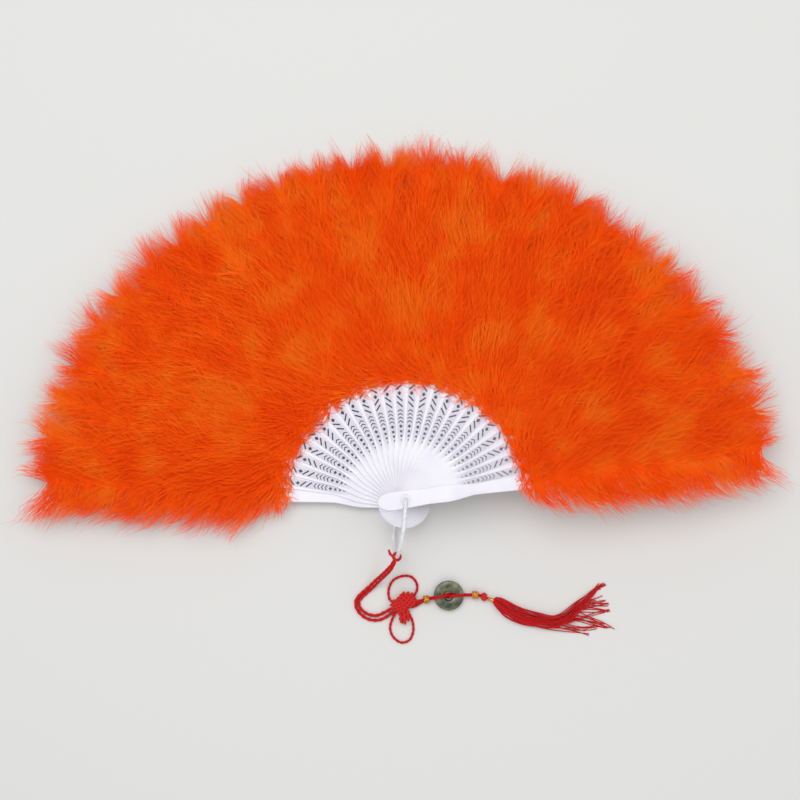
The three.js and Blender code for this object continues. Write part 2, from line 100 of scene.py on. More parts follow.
# Hang loop, in degrees and millimetres: its shape, its twist, which dies away over a share of its length, and
# its pegs
LOOP_HEADING = -97.4
LOOP_LEG = 19.5
LOOP_ARCH = 17
LOOP_OFFSET = 1.65
LOOP_RADIUS = 1.35
HITCH_ANGLE = 7
HITCH_GAP = 0.15
FRONT_LEG_BOW = 1
BACK_LEG_BOW = -3.4
TWIST_LOBES = 4
TWIST_DEPTH = 0.2
TWIST_PITCH = 4.2
TWISTED_SHARE = 0.62
TWIST_FADE = 0.1
PEG_RADIUS = 0.9
PEG_ENDS = (0.3, 4.4)

# Tassel routes in millimetres, from the pivot, as the model's source gives them
STRING_ROUTE = [
    (-4.9, -36.1, 22.8), (-6.7, -39.9, 21.4), (-9.3, -43.6, 17.4), (-12.6, -47.3, 11.8), (-16.2, -51, 6.6),
    (-20.4, -55.5, 2.6), (-24.3, -59.1, 1.4), (-27.6, -62.2, 1.22), (-29.7, -65.3, 1.22),
    (-29.4, -69.2, 1.22), (-26.8, -72.8, 1.22), (-21.9, -75.7, 1.22), (-16.1, -76.1, 1.22),
    (-10.9, -73.8, 1.3), (-7, -71.2, 2.2), (-3.5, -69.6, 2.9),
]
STUB_ROUTE = [(-6.3, -34.4, 22.9), (-8, -32.8, 22.5), (-8.9, -30.6, 21.6)]
UPPER_EAR_ROUTE = [
    (-4.4, -66.4, 3), (-8.5, -64.2, 1.6), (-9.2, -57.6, 1), (-6.2, -51.6, 0.97), (0.2, -48.8, 0.97),
    (5.6, -49.4, 0.97), (9, -53.4, 0.97), (9.3, -58, 1.1), (6.4, -62.6, 2.4), (3, -65.4, 3),
]
LOWER_EAR_ROUTE = [
    (-3, -69.8, 3), (-6.6, -76.4, 1.4), (-8.3, -82.9, 0.97), (-6.3, -88.7, 0.97), (-1.1, -92.4, 0.97),
    (4.1, -91, 0.97), (6.8, -85.4, 0.97), (6.2, -78, 1.2), (2.6, -71, 3),
]
OVER_ROUTE = [
    (3.6, -66.4, 3.6), (8.4, -65.6, 3.7), (12.4, -64.5, 3.55), (15.5, -63.9, 3.45), (18.3, -63.3, 3.7),
    (19.6, -63, 4.6), (21.4, -62.7, 5.3), (24, -62.2, 5.4), (26.9, -61.5, 5.25), (28.6, -60.9, 4.4),
    (30.1, -60.4, 3), (31.6, -60.6, 1.6), (33.3, -61, 0.8), (36, -61.1, 0.66), (38.8, -61.1, 0.7),
    (41.6, -61.1, 1.3), (44, -61, 2.1), (47.3, -61, 2.25), (50.4, -61.4, 2.3), (53.2, -62.3, 2.5),
]
UNDER_ROUTE = [
    (3.4, -69, 2.7), (8, -68.3, 2.2), (12, -65.9, 2.2), (15.5, -64, 2.25), (18.6, -63.2, 1.9),
    (20.4, -62.9, 1), (22.2, -62.6, 0.7), (24.4, -62.1, 0.66), (26.9, -62, 0.8), (28.6, -62.2, 1.6),
    (30.1, -62.3, 3), (31.6, -61.9, 4.4), (33.3, -61.4, 5.25), (36, -61.1, 5.4), (38.6, -61.1, 5.3),
    (40.4, -61.1, 4.7), (41.9, -61.1, 3.9), (44, -61, 3.5), (47.3, -61, 3.45), (50.4, -61.4, 3.3),
    (53.2, -62.3, 2.9),
]
SKIRT_ROUTE = [
    (53.2, -62.3, 2.6), (56, -63.3, 2.4), (58.2, -64.2, 2.3), (60.5, -65.1, 2.3), (63, -66.4, 2.3),
    (70.6, -71.5, 2.3), (79.2, -75.6, 2.3), (87.9, -77.9, 2.3), (97.8, -79, 2.3), (106, -76.6, 2.2),
    (114, -70, 1.8), (122.8, -62.2, 1.5), (129.6, -56, 1.2),
]
# How far the doubled string's strands lie from its middle line, in radii, at even steps from hitch to knot
DOUBLED_APART = (0.3, 1, 1.02, 1.1, 1.05, 1.1, 1.5, 1.65, 1)
# Each cord's route, the setting with its radius, how far its strands lie apart if it has two, what holds its
# far end, and the pieces that it runs through
CORDS = {
    "doubled_string": (STRING_ROUTE, "string_radius", DOUBLED_APART, "knot", ["hitch", "knot"]),
    "upper_ear": (UPPER_EAR_ROUTE, "ear_radius", None, "object", []),
    "lower_ear": (LOWER_EAR_ROUTE, "ear_radius", None, "object", []),
    "over_strand": (
        OVER_ROUTE, "fine_radius", (1, 1), "knot",
        ["beaded_upper", "stone_disc", "beaded_lower", "stopper_knot"],
    ),
    "under_strand": (UNDER_ROUTE, "fine_radius", (1, 1), "knot", []),
}
# The lay of a cord's two lobes: how deep they are, and the sides of its tube
CORD_LOBES = 2
CORD_DEPTH = 0.14
CORD_SIDES = 10

# Wound lobes of the knot: place and half sizes in millimetres, headings of the turns of cord, and their
# places across
KNOT_LOBES = [
    ((2.5, -64.3, 3.5), (6.8, 5.9, 3.4), (0.95, 2.4), (-0.8, -0.42, 0, 0.42, 0.8)),
    ((-2.2, -67.8, 3.5), (6.1, 5.4, 3.4), (0.4, 1.9), (-0.8, -0.42, 0, 0.42, 0.8)),
    ((0.9, -74.4, 3.1), (4.4, 6.1, 2.9), (1.75, 0.5), (-0.68, 0, 0.68)),
]
STOPPER_LOBE = ((53.2, -62.3, 2.6), (2.3, 2.9, 2.5), (1.3, 2.6), (-0.66, -0.25, 0.25, 0.66))
STOPPER_CORD_RADIUS = 0.6
# How much smaller each next layer of turns is, and how deep and how often a turn goes over and under
LAYER_STEP = 0.07
WEAVE_DEPTH = 0.025
WEAVE_WAVES = 5

# Beads, ferrule and disc: places in millimetres, from the pivot, and headings
UPPER_BEAD = ((15.5, -63.95, 2.85), 10)
LOWER_BEAD = ((47.3, -61, 2.85), -3)
FERRULE = ((57.6, -64, 2.3), -20)
FERRULE_OUTER = 1.3
FERRULE_INNER = 0.8
FERRULE_LENGTH = 3.4
FERRULE_RIBS = 4
FERRULE_RIB_DEPTH = 0.12
DISC_PLACE = (30.1, -61.4, 3)

# Half the width of the bundle of threads in millimetres, at distances from the stopper knot
BUNDLE_DISTANCES = (0, 6.2, 7.6, 10, 18, 30, 46, 60, 72, 88)
BUNDLE_HALF_WIDTHS = (0.25, 0.3, 2.2, 3.1, 4.5, 4.5, 4.3, 3.8, 3, 1.2)
# Free ends of the skirt's threads in millimetres, from the pivot, how many end about there, and where on the
# bundle's way these leave it
SKIRT_ENDS = [
    (130.6, -54.9, 15, 0.88), (128.4, -64.6, 4, 0.8), (134, -66.5, 7, 0.74), (134.5, -72.5, 6, 0.68),
    (134, -82, 7, 0.64), (128, -82.5, 6, 0.5), (121.6, -85.8, 4, 0.4),
]

# Stage: half the side of the floor and the camera's place, less its distance, in metres, its sensor's width
# in millimetres, and the place, the size and the watts of each lamp
FLOOR_HALF = 8
CAMERA_PLACE = (-1.8 * MM, -31.9 * MM, 12 * MM)
SENSOR_WIDTH = 36
LAMPS = {
    "key": ((-0.28, 0.42, 1.45), 1.2, 11.2),
    "fill": ((0.9, 0.2, 1.1), 1.1, 2.6),
    "front": ((0.1, -1.0, 0.9), 0.9, 1.5),
}
# Strength of the world as a light, and as the background that the camera and reflections see
WORLD_LIGHT = 0.55
WORLD_SEEN = 0.72


def stick_heading(index):
    return math.radians(BACK_HEADING - index * OPEN_ANGLE / (STICK_COUNT - 1))


def stick_place(index):
    """The frame of a stick: its origin on the pivot under the stick, its X along the stick."""
    level = 0
    if index:
        level = GUARD_THICKNESS + LAYER_GAP + (index - 1) * (RIB_THICKNESS + LAYER_GAP)
    return FAN @ Matrix.Rotation(stick_heading(index), 4, "Z") @ Matrix.Translation((0, 0, level * MM))


def linear(red, green, blue):
    """A colour as a shader reads it, from its 0 to 255 values on a screen."""
    shares = [value / 255 for value in (red, green, blue)]
    return tuple(s / 12.92 if s <= 0.04045 else ((s + 0.055) / 1.055) ** 2.4 for s in shares)


def colour_property(name, description, *screen):
    return bpy.props.FloatVectorProperty(
        name=name, description=description, subtype="COLOR", size=3, min=0, max=1, default=linear(*screen)
    )


def length_property(name, description, millimetres):
    return bpy.props.FloatProperty(
        name=name, description=description, subtype="DISTANCE", unit="LENGTH", default=millimetres * MM, min=0
    )


def angle_property(name, description, degrees):
    return bpy.props.FloatProperty(
        name=name, description=description, subtype="ANGLE", unit="ROTATION", default=math.radians(degrees)
    )


class FeatherFanPlumes(bpy.types.PropertyGroup):
    tufts: bpy.props.IntProperty(
        name="Tufts", description="Tufts of down on both sides of a plume", default=150, min=2
    )
    barbs: bpy.props.IntProperty(
        name="Barbs in a tuft", description="Barbs from one spot of the shaft", default=16, min=1
    )
    root_reach: length_property("Root reach", "From the pivot to the first tuft", 76.5)
    tip_reach: length_property("Tip reach", "From the pivot to the end of an upright plume", 238)
    side_gain: length_property("Side gain", "How much longer a plume at the fan's side is", 15)
    barb_length: length_property("Barb length", "Length of the longest barbs", 46)
    barb_width: length_property("Barb width", "Width of a barb near its root", 0.44)
    splay: angle_property("Splay", "Angle between a barb and the shaft", 34)
    free_splay: angle_property("Free splay", "The same on the fan's two open sides", 74)
    rise: angle_property("Rise", "How far barbs stand up and down from the plume", 15)
    colour: colour_property("Colour", "Dyed down in full light", 255, 92, 6)
    deep_colour: colour_property("Deep colour", "Down near the shaft", 254, 74, 2)


class FeatherFanTassel(bpy.types.PropertyGroup):
    string_radius: length_property("String radius", "Radius of each of the two strands at the hitch", 1)
    ear_radius: length_property("Ear radius", "Radius of the knot's two loops", 0.8)
    fine_radius: length_property("Fine radius", "Radius of each strand through the disc", 0.5)
    thread_radius: length_property("Thread radius", "Radius of a thread of the skirt", 0.36)
    disc_radius: length_property("Disc radius", "Outer radius of the stone disc", 9.85)
    disc_hole: length_property("Disc hole", "Radius of the disc's hole", 2.9)
    disc_thickness: length_property("Disc thickness", "Thickness of the disc", 3)
    red: colour_property("Red", "Cord and threads", 196, 9, 14)
    gold: colour_property("Gold", "Beads and ferrule", 230, 164, 76)
    stone: colour_property("Stone", "The disc's main colour", 82, 88, 64)
    dark_stone: colour_property("Dark stone", "The disc's dark veins and clouds", 32, 47, 35)


class FeatherFanSticks(bpy.types.PropertyGroup):
    white: colour_property("White", "Moulded plastic of the sticks", 236, 235, 242)
    # Painted shade: the grey painted on a rib's pierced panel, for the dark seen through its holes
    panel: colour_property("Panel", "A rib's pierced panel, which lets light through", 202, 199, 214)
    clear: colour_property("Clear", "Milky clear plastic of the hang loop", 244, 245, 248)
    loop_radius: length_property("Loop radius", "Radius of the hang loop's bar", LOOP_RADIUS)


class FeatherFanStage(bpy.types.PropertyGroup):
    floor: colour_property("Floor", "Floor and background", 222, 222, 220)
    view_width: length_property("View width", "Width that the camera takes in on the table", 520)
    lens: bpy.props.FloatProperty(
        name="Lens", description="Focal length of the camera in millimetres", default=85, min=10
    )


# Node trees


def math_node(operation, swapped=False):
    """A method that makes a Math node from a field and the values that it is given."""

    def method(self, *others):
        values = (self, *others)[::-1] if swapped else (self, *others)
        return self.tree.add("ShaderNodeMath", dict(enumerate(values)), operation=operation)

    return method


class Field:
    """The output of a node. Fields of numbers can be added, multiplied and so on."""

    __add__ = __radd__ = math_node("ADD")
    __sub__ = math_node("SUBTRACT")
    __rsub__ = math_node("SUBTRACT", swapped=True)
    __mul__ = math_node("MULTIPLY")
    __truediv__ = math_node("DIVIDE")
    __mod__ = math_node("MODULO")
    above = math_node("MAXIMUM")
    below = math_node("MINIMUM")
    absolute = math_node("ABSOLUTE")
    floor = math_node("FLOOR")
    sine = math_node("SINE")
    cosine = math_node("COSINE")

    def __init__(self, tree, socket):
        self.tree = tree
        self.socket = socket

    def clipped(self):
        return self.above(0).below(1)


class Tree:
    """Adds nodes to a node tree and links them."""

    def __init__(self, group):
        self.group = group

    def plug(self, socket, value):
        if isinstance(value, Field):
            self.group.links.new(value.socket, socket)
        else:
            socket.default_value = value

    def add(self, kind, inputs=None, out=None, **settings):
        """The output of a new node: the one named out, or else the first that is enabled."""
        node = self.group.nodes.new(kind)
        for name, value in settings.items():
            setattr(node, name, value)
        for name, value in (inputs or {}).items():
            self.plug(self.socket(node.inputs, name), value)
        return Field(self, self.socket(node.outputs, out))

    def socket(self, sockets, name):
        if isinstance(name, int):
            return sockets[name]
        return next(socket for socket in sockets if socket.enabled and name in (None, socket.name))

    def split(self, vector, axes):
        outputs = self.add("ShaderNodeSeparateXYZ", {"Vector": vector}).socket.node.outputs
        return [Field(self, outputs[axis]) for axis in axes]


class GeometryTree(Tree):
    """A geometry node tree whose inputs have names."""

    def __init__(self, name):
        super().__init__(bpy.data.node_groups.new(name, "GeometryNodeTree"))
        self.group.interface.new_socket("Geometry", in_out="OUTPUT", socket_type="NodeSocketGeometry")
        self.inlet = self.group.nodes.new("NodeGroupInput")
        self.index = self.node("InputIndex")

    def ask(self, kind, *names):
        """Fields of new inputs of one kind."""
        for name in names:
            self.group.interface.new_socket(name, in_out="INPUT", socket_type=f"NodeSocket{kind}")
        return [Field(self, self.inlet.outputs[name]) for name in names]

    def node(self, kind, **inputs):
        """The first output of a geometry node. Its inputs have _ for a space."""
        named = {name.replace("_", " "): value for name, value in inputs.items()}
        return self.add(f"GeometryNode{kind}", named)

    def random(self, low, high, each, seed):
        inputs = {"Min": low, "Max": high, "ID": each, "Seed": seed}
        return self.add("FunctionNodeRandomValue", inputs, data_type="FLOAT")

    def vector(self, x, y, z):
        return self.add("ShaderNodeCombineXYZ", {"X": x, "Y": y, "Z": z})

    def finish(self, parts, material):
        """Joins the parts and ends the tree in Realize Instances and Set Material."""
        whole = self.node("JoinGeometry")
        for part in parts:
            self.plug(whole.socket.node.inputs[0], part)
        real = self.node("RealizeInstances", Geometry=whole)
        painted = self.node("SetMaterial", Geometry=real, Material=material)
        self.plug(self.group.nodes.new("NodeGroupOutput").inputs[0], painted)


def new_object(name, data):
    made = bpy.data.objects.new(name, data)
    bpy.context.scene.collection.objects.link(made)
    return made


def grown(name, tree, values):
    """A plain mesh object made by a geometry node tree from these named values."""
    piece = new_object(name, bpy.data.meshes.new(name))
    modifier = piece.modifiers.new("Grow", "NODES")
    modifier.node_group = tree.group
    items = tree.group.interface.items_tree
    sockets = {item.name: item.identifier for item in items if item.in_out == "INPUT"}
    for label, value in values.items():
        modifier[sockets[label]] = value
    depsgraph = bpy.context.evaluated_depsgraph_get()
    mesh = bpy.data.meshes.new_from_object(piece.evaluated_get(depsgraph))
    piece.modifiers.clear()
    if not mesh.polygons:
        raise RuntimeError(f"{name} came out empty")
    piece.data = mesh
    mesh.name = name
    return piece


def settle(piece, body, node=None):
    """Says which body moves a piece, and hides the node that it takes the place of, if any."""
    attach(piece, body)
    if node:
        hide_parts(node)


# Shapes in code


def from_pivot(place):
    """A place given in millimetres from the pivot, in metres in the model's frame."""
    x, y, z = place
    return Vector((x * MM + PIVOT.x, y * MM + PIVOT.y, z * MM))


def smooth_route(points, step):
    """A smooth line through a route given in millimetres from the pivot, with points about a step apart."""
    return smooth_line([from_pivot(point) for point in points], step * MM)


def between(t, start, end, first, second):
    """The point at t on the straight way from the first point, at the start, to the second, at the end."""
    return (end - t) / (end - start) * first + (t - start) / (end - start) * second


def smooth_line(points, step):
    """Points about a step apart on one smooth curve through the given ones."""
    given = np.array(points, float)
    given = np.vstack([2 * given[0] - given[1], given, 2 * given[-1] - given[-2]])
    knots = np.concatenate([[0], np.cumsum(np.sqrt(np.linalg.norm(np.diff(given, axis=0), axis=1)))])
    line = []
    for i in range(1, len(given) - 2):
        p0, p1, p2, p3 = given[i - 1 : i + 3]
        t0, t1, t2, t3 = knots[i - 1 : i + 3]
        count = max(2, math.ceil(np.linalg.norm(p2 - p1) / step))
        for t in np.linspace(t1, t2, count, endpoint=False):
            a1 = between(t, t0, t1, p0, p1)
            a2 = between(t, t1, t2, p1, p2)
            a3 = between(t, t2, t3, p2, p3)
            b1 = between(t, t0, t2, a1, a2)
            b2 = between(t, t1, t3, a2, a3)
            line.append(between(t, t1, t2, b1, b2))
    line.append(given[-2])
    return np.array(line)


def distances_along(line):
    return np.concatenate([[0], np.cumsum(np.linalg.norm(np.diff(line, axis=0), axis=1))])


def full_turn(count):
    return np.linspace(0, 2 * math.pi, count, endpoint=False)


def frames_along(line, closed=False):
    """Tangents, sides and ups along a line, turned about it as little as possible."""
    if closed:
        tangents = np.roll(line, -1, 0) - np.roll(line, 1, 0)
    else:
        tangents = np.gradient(line, axis=0)
    tangents /= np.linalg.norm(tangents, axis=1, keepdims=True)
    side = np.cross(tangents[0], (0, 0, 1))
    if np.linalg.norm(side) < 0.1:
        side = np.cross(tangents[0], (1, 0, 0))
    sides = []
    for tangent in tangents:
        side = side - tangent * side.dot(tangent)
        side /= np.linalg.norm(side)
        sides.append(side)
    sides = np.array(sides)
    return tangents, sides, np.cross(tangents, sides)


# Radii of the rings that round off a tube's ends, in the tube's own radius
ROUND_END = np.array([0.35, 0.7, 0.92])


def tube(line, radius, sides=12, lobes=0, depth=0.0, pitch=1.0, closed=False):
    """Vertices and faces of a closed tube along a line. Lobes wind round it like the strands of a cord."""
    line = np.asarray(line, float)
    radii = np.broadcast_to(np.asarray(radius, float), (len(line),))
    if not closed:
        tangents = frames_along(line)[0]
        before = [line[0] - tangents[0] * radii[0] * math.sqrt(1 - c * c) for c in ROUND_END]
        after = [line[-1] + tangents[-1] * radii[-1] * math.sqrt(1 - c * c) for c in ROUND_END[::-1]]
        line = np.vstack([before, line, after])
        radii = np.concatenate([ROUND_END * radii[0], radii, ROUND_END[::-1] * radii[-1]])
    _, across, up = frames_along(line, closed)
    turn = full_turn(sides)
    lobed = 1 + depth * np.cos(lobes * turn[None, :] - 2 * math.pi * distances_along(line)[:, None] / pitch)
    ring = radii[:, None] * lobed
    vertices = (
        line[:, None, :]
        + (ring * np.cos(turn))[:, :, None] * across[:, None, :]
        + (ring * np.sin(turn))[:, :, None] * up[:, None, :]
    ).reshape(-1, 3)
    faces = bands(len(line), sides, closed)
    if not closed:
        faces.append(tuple(range(sides - 1, -1, -1)))
        faces.append(tuple(range((len(line) - 1) * sides, len(line) * sides)))
    return vertices, faces


def bands(rings, sides, closed):
    """Faces between each ring of points and the next one."""
    faces = []
    for i in range(rings if closed else rings - 1):
        low, high = i * sides, (i + 1) % rings * sides
        for k in range(sides):
            j = (k + 1) % sides
            faces.append((low + k, low + j, high + j, high + k))
    return faces


def lathe(profile, sides, matrix):
    """Vertices and faces of a ring-shaped solid: a closed profile of (radius, height) turned about Z."""
    vertices = []
    for k in range(sides):
        turn = 2 * math.pi * k / sides
        for radius, height in profile:
            vertices.append(matrix @ Vector((radius * math.cos(turn), radius * math.sin(turn), height)))
    faces = [(a, d, c, b) for a, b, c, d in bands(sides, len(profile), closed=True)]
    return np.array(vertices), faces


def piece_of(name, parts, material):
    """One smooth mesh object of several bodies."""
    vertices, faces, first = [], [], 0
    for points, polygons in parts:
        vertices.append(np.asarray(points, float))
        faces.extend(tuple(first + i for i in polygon) for polygon in polygons)
        first += len(points)
    mesh = bpy.data.meshes.new(name)
    mesh.from_pydata(np.concatenate(vertices).tolist(), [], faces)
    mesh.materials.append(material)
    mesh.shade_smooth()
    return new_object(name, mesh)


# Finishes


def opaque(colour):
    return (*colour, 1)


class FinishTree(Tree):
    """The node tree of a new material with a Principled shader."""

    def __init__(self, name, **values):
        self.material = bpy.data.materials.new(name)
        self.material.use_nodes = True
        super().__init__(self.material.node_tree)
        self.shader = self.group.nodes["Principled BSDF"]
        self.give(**values)

    def give(self, **values):
        """Sets or links inputs of the shader, named with _ for a space."""
        for label, value in values.items():
            self.plug(self.shader.inputs[label.replace("_", " ")], value)

    def ramp(self, factor, stops):
        """A colour ramp through (place, colour) stops."""
        field = self.add("ShaderNodeValToRGB", {"Fac": factor}, out="Color")
        elements = field.socket.node.color_ramp.elements
        while len(elements) < len(stops):
            elements.new(0.5)
        for element, (place, colour) in zip(elements, stops):
            element.position = place
            element.color = opaque(colour)
        return field

    def mixed(self, factor, first, second):
        inputs = {0: factor, 6: first, 7: second}
        return self.add("ShaderNodeMix", inputs, out="Result", data_type="RGBA", clamp_factor=True)

    def noise(self, scale, detail, roughness=0.5):
        place = self.add("ShaderNodeTexCoord", out="Object")
        inputs = {"Vector": place, "Scale": scale, "Detail": detail, "Roughness": roughness}
        return self.add("ShaderNodeTexNoise", inputs)

    def bump(self, height, strength, distance):
        inputs = {"Height": height, "Strength": strength, "Distance": distance}
        self.give(Normal=self.add("ShaderNodeBump", inputs))


def down_finish(settings):
    """Dyed down: deep at the shaft and pale at the tips, each barb with its own shade, in soft patches."""
    tree = FinishTree(
        "orange_down", Roughness=0.9, Sheen_Weight=1.0, Sheen_Roughness=0.4, Specular_IOR_Level=0.1,
        Sheen_Tint=opaque(linear(255, 150, 60)),
    )
    shade, along = tree.split(tree.add("ShaderNodeUVMap", uv_map=DOWN_MAP), "XY")
    bright, deep = settings.colour, settings.deep_colour
    root_to_tip = tree.ramp(along, [(0, deep), (0.35, bright), (1, bright)])
    tipped = tree.mixed(along * shade * 0.5, root_to_tip, opaque(linear(255, 124, 24)))
    own = tree.ramp(shade, [(0, linear(255, 72, 2)), (0.45, bright), (1, linear(255, 108, 10))])
    patch_stops = [(0.34, linear(247, 66, 0)), (0.5, bright), (0.64, linear(255, 128, 26))]
    patched = tree.ramp(tree.noise(38, 3), patch_stops)
    tree.give(Base_Color=tree.mixed(0.55, tree.mixed(0.5, tipped, own), patched))
    return tree.material


def white_finish(name, settings, pierced):
    """Glossy moulded plastic, faintly mottled; painted shade greys each rib's pierced panel."""
    tree = FinishTree(name, Specular_IOR_Level=0.5, Coat_Weight=0.15)
    colour = tree.ramp(tree.noise(55, 4), [(0.3, linear(226, 224, 236)), (0.7, settings.white)])
    fine = tree.noise(900, 2)
    if pierced:
        place = tree.add("ShaderNodeAttribute", out="Vector", attribute_name=RIB_PLACE)
        along, across = tree.split(place, "XY")
        fade_along, fade_across = PANEL_FADES
        # Painted shade: greys the pierced panel, fading in from its edges and from where the panel starts
        panel_shade = ((PANEL_HALF_WIDTH - across.absolute()) / fade_across).clipped()
        panel_shade = panel_shade * ((along - PANEL_START) / fade_along).clipped()
        colour = tree.mixed(panel_shade, colour, opaque(settings.panel))
    tree.give(Base_Color=colour, Roughness=fine * 0.14 + 0.26)
    tree.bump(fine, 0.12, 0.0002)
    return tree.material


def clear_finish(settings):
    tree = FinishTree(
        "clear_twisted", Roughness=0.12, Transmission_Weight=0.12, IOR=1.49, Specular_IOR_Level=0.6
    )
    stops = [(0.35, linear(226, 228, 234)), (0.65, settings.clear)]
    tree.give(Base_Color=tree.ramp(tree.noise(260, 3), stops))
    return tree.material


def cord_finish(name, settings, scale):
    """Spun red yarn: fine fibres, with painted shade in the bump's hollows and painted highlight on its
    ridges.
    """
    tree = FinishTree(
        name, Roughness=0.55, Sheen_Weight=0.12, Sheen_Roughness=0.35, Specular_IOR_Level=0.2
    )
    # Painted shade in the bump's hollows and painted highlight on its ridges: one fibre noise for both
    fibre = tree.noise(scale, 3, 0.65)
    red = settings.red
    deep = tuple(0.5 * value for value in red)
    bright = (min(1, red[0] * 1.35), red[1] * 2.2, red[2] * 1.6)
    tree.give(Base_Color=tree.ramp(fibre, [(0.25, deep), (0.5, red), (0.8, bright)]))
    tree.bump(fibre, 0.5, 0.0002)
    return tree.material


def gold_finish(settings):
    tree = FinishTree("bright_gold", Metallic=1.0)
    # Painted shade: random dark patches on the gold, for the dark gaps between the balls; the same noise
    # varies the roughness
    shade_and_roughness = tree.noise(700, 3)
    deep = tuple(0.45 * value for value in settings.gold)
    tree.give(Base_Color=tree.ramp(shade_and_roughness, [(0.35, deep), (0.6, settings.gold)]), Roughness=shade_and_roughness * 0.2 + 0.14)
    return tree.material


def stone_finish(settings):
    """Polished mottled green stone: pale clouds, dark veins and fine grain."""
    tree = FinishTree(
        "green_stone", Roughness=0.22, Specular_IOR_Level=0.5, Coat_Weight=0.3, Coat_Roughness=0.08
    )
    grain = tree.noise(1400, 2, 0.6)
    stops = [
        (0.4, settings.dark_stone), (0.48, settings.stone),
        (0.57, linear(106, 109, 82)), (0.66, linear(134, 134, 106)),
    ]
    clouds = tree.ramp(tree.noise(190, 5, 0.62), stops)
    tree.give(Base_Color=tree.mixed(grain * 0.35, clouds, opaque(linear(70, 79, 58))))
    tree.bump(grain, 0.08, 0.0001)
    return tree.material


# Operators


class FEATHERFAN_OT_stage(bpy.types.Operator):
    """Makes the floor, the lamps, the world and the camera."""

    bl_idname = "feather_fan.stage"
    bl_label = "Stage"

    def execute(self, context):
        settings = context.scene.feather_fan_stage
        context.scene.view_settings.view_transform = "Standard"
        self.make_floor(settings)
        self.make_world(context)
        for name, (place, size, watts) in LAMPS.items():
            self.make_lamp(name, Vector(place), size, watts)
        self.make_camera(context, settings)
        return {"FINISHED"}

    def make_floor(self, settings):
        """A plain pale floor whose colour is also the background."""
        half = FLOOR_HALF
        corners = [(-half, -half, 0), (half, -half, 0), (half, half, 0), (-half, half, 0)]
        colour = opaque(settings.floor)
        tree = FinishTree("pale_floor", Roughness=0.8, Specular_IOR_Level=0.2, Base_Color=colour)
        piece_of("floor", [(corners, [(0, 1, 2, 3)])], tree.material)

    def make_world(self, context):
        world = bpy.data.worlds.new("studio")
        world.use_nodes = True
        tree = Tree(world.node_tree)
        rays = tree.add("ShaderNodeLightPath", out="Is Camera Ray").socket.node.outputs
        seen = Field(tree, rays["Is Camera Ray"])
        for ray in ("Is Glossy Ray", "Is Transmission Ray"):
            seen = seen.above(Field(tree, rays[ray]))
        background = world.node_tree.nodes["Background"].inputs
        tree.plug(background["Color"], opaque((1, 1, 1)))
        tree.plug(background["Strength"], seen * (WORLD_SEEN - WORLD_LIGHT) + WORLD_LIGHT)
        context.scene.world = world

    def make_lamp(self, name, place, size, watts):
        data = bpy.data.lights.new(name, "AREA")
        data.shape = "DISK"
        data.size = size
        data.energy = watts
        lamp = new_object(name, data)
        lamp.location = place
        lamp.rotation_euler = (-place).to_track_quat("-Z", "Y").to_euler()

    def make_camera(self, context, settings):
        data = bpy.data.cameras.new("camera")
        data.lens = settings.lens
        data.sensor_width = SENSOR_WIDTH
        x, y, height = CAMERA_PLACE
        camera = new_object("camera", data)
        camera.location = (x, y, settings.view_width * data.lens / data.sensor_width + height)
        context.scene.camera = camera


class FEATHERFAN_OT_strings(bpy.types.Operator):
    """Makes the doubled string, the knot's two loops and the strands through the disc."""

    bl_idname = "feather_fan.strings"
    bl_label = "Strings"

    def execute(self, context):
        settings = context.scene.feather_fan_tassel
        finish = cord_finish("red_cord", settings, 1500)
        for name, (points, radius_name, apart, _, _) in CORDS.items():
            radius = getattr(settings, radius_name)
            line = smooth_route(points, 0.4)
            lines = self.side_by_side(line, radius, apart) if apart else [line]
            strands = [tube(each, radius, CORD_SIDES, CORD_LOBES, CORD_DEPTH, 4 * radius) for each in lines]
            node = "tassel_cord" if name == "doubled_string" else None
            settle(piece_of(name, strands, finish), "tassel", node)
        return {"FINISHED"}

    def side_by_side(self, line, radius, apart):
        """The lines of two strands side by side, so many radii from the middle, at even steps along it."""
        _, across, _ = frames_along(line)
        level = across * (1, 1, 0)
        level /= np.linalg.norm(level, axis=1, keepdims=True)
        offset = np.interp(np.linspace(0, 1, len(line)), np.linspace(0, 1, len(apart)), apart) * radius
        return [line + side * offset[:, None] * level for side in (-1, 1)]


